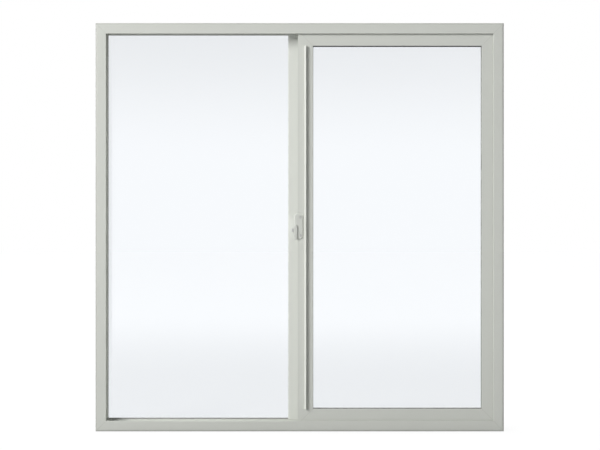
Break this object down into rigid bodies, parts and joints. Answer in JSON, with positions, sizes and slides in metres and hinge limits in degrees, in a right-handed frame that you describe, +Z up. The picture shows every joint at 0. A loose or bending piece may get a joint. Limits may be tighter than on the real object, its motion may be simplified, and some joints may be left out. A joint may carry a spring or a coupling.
{
  "type": "horizontal sliding window",
  "caption": "Square sliding window: white hollow-section outer frame with a fixed light on the left and a sliding sash with a pull rail and a turn latch on the right, double glazed.",
  "frame": {"origin": "centre of the sill's underside, in the middle of the frame's width and depth", "axes": "+X to the right seen from the room, +Y from the room to the outside, +Z up"},
  "size_m": [1.206, 0.0863, 1.206],
  "materials": {
    "vinyl": "satin white uPVC",
    "glass": "clear float glass",
    "mill_aluminium": "mill",
    "gasket_rubber": "matt",
    "pile": "brushed pile",
    "roller_plastic": "moulded nylon",
    "latch_finish": "satin white",
    "steel": "zinc plated"
  },
  "bodies": {
    "frame": {"frame_head": "vinyl", "frame_sill": "vinyl", "frame_jamb_left": "vinyl", "frame_jamb_right": "vinyl", "mullion": "vinyl", "fixed_bead_bottom": "vinyl", "fixed_bead_top": "vinyl", "fixed_bead_left": "vinyl", "fixed_bead_right": "vinyl", "fixed_glass_inner": "glass", "fixed_glass_outer": "glass", "fixed_spacer": "gasket_rubber", "fixed_gasket_inner": "gasket_rubber", "fixed_gasket_outer": "gasket_rubber", "fixed_setting_blocks": "gasket_rubber", "sill_roller_rail": "mill_aluminium", "sash_stop": "gasket_rubber", "frame_pile_seal": "pile", "weep_covers": "vinyl", "latch_keeper": "steel"},
    "sash": {"sash_top_rail": "vinyl", "sash_bottom_rail": "vinyl", "sash_meeting_stile": "vinyl", "sash_jamb_stile": "vinyl", "sash_pull_rail": "vinyl", "sash_bead_bottom": "vinyl", "sash_bead_top": "vinyl", "sash_bead_left": "vinyl", "sash_bead_right": "vinyl", "sash_glass_inner": "glass", "sash_glass_outer": "glass", "sash_spacer": "gasket_rubber", "sash_gasket_inner": "gasket_rubber", "sash_gasket_outer": "gasket_rubber", "sash_setting_blocks": "gasket_rubber", "roller_housing_left": "roller_plastic", "roller_housing_right": "roller_plastic", "roller_wheel_left": "roller_plastic", "roller_wheel_right": "roller_plastic", "latch_base": "latch_finish", "latch_screws": "steel", "sash_pile_seals": "pile"},
    "latch_lever": {"latch_lever": "latch_finish", "latch_cam": "steel"}
  },
  "joints": [
    {"name": "sash_slide", "type": "slide", "parent": "frame", "child": "sash", "axis": [-1, 0, 0], "range_m": [0, 0.51]},
    {"name": "latch_turn", "type": "hinge", "parent": "sash", "child": "latch_lever", "pos_m": [-0.012, -0.0395, 0.605], "axis": [0, 1, 0], "range_deg": [0, 90]}
  ]
}
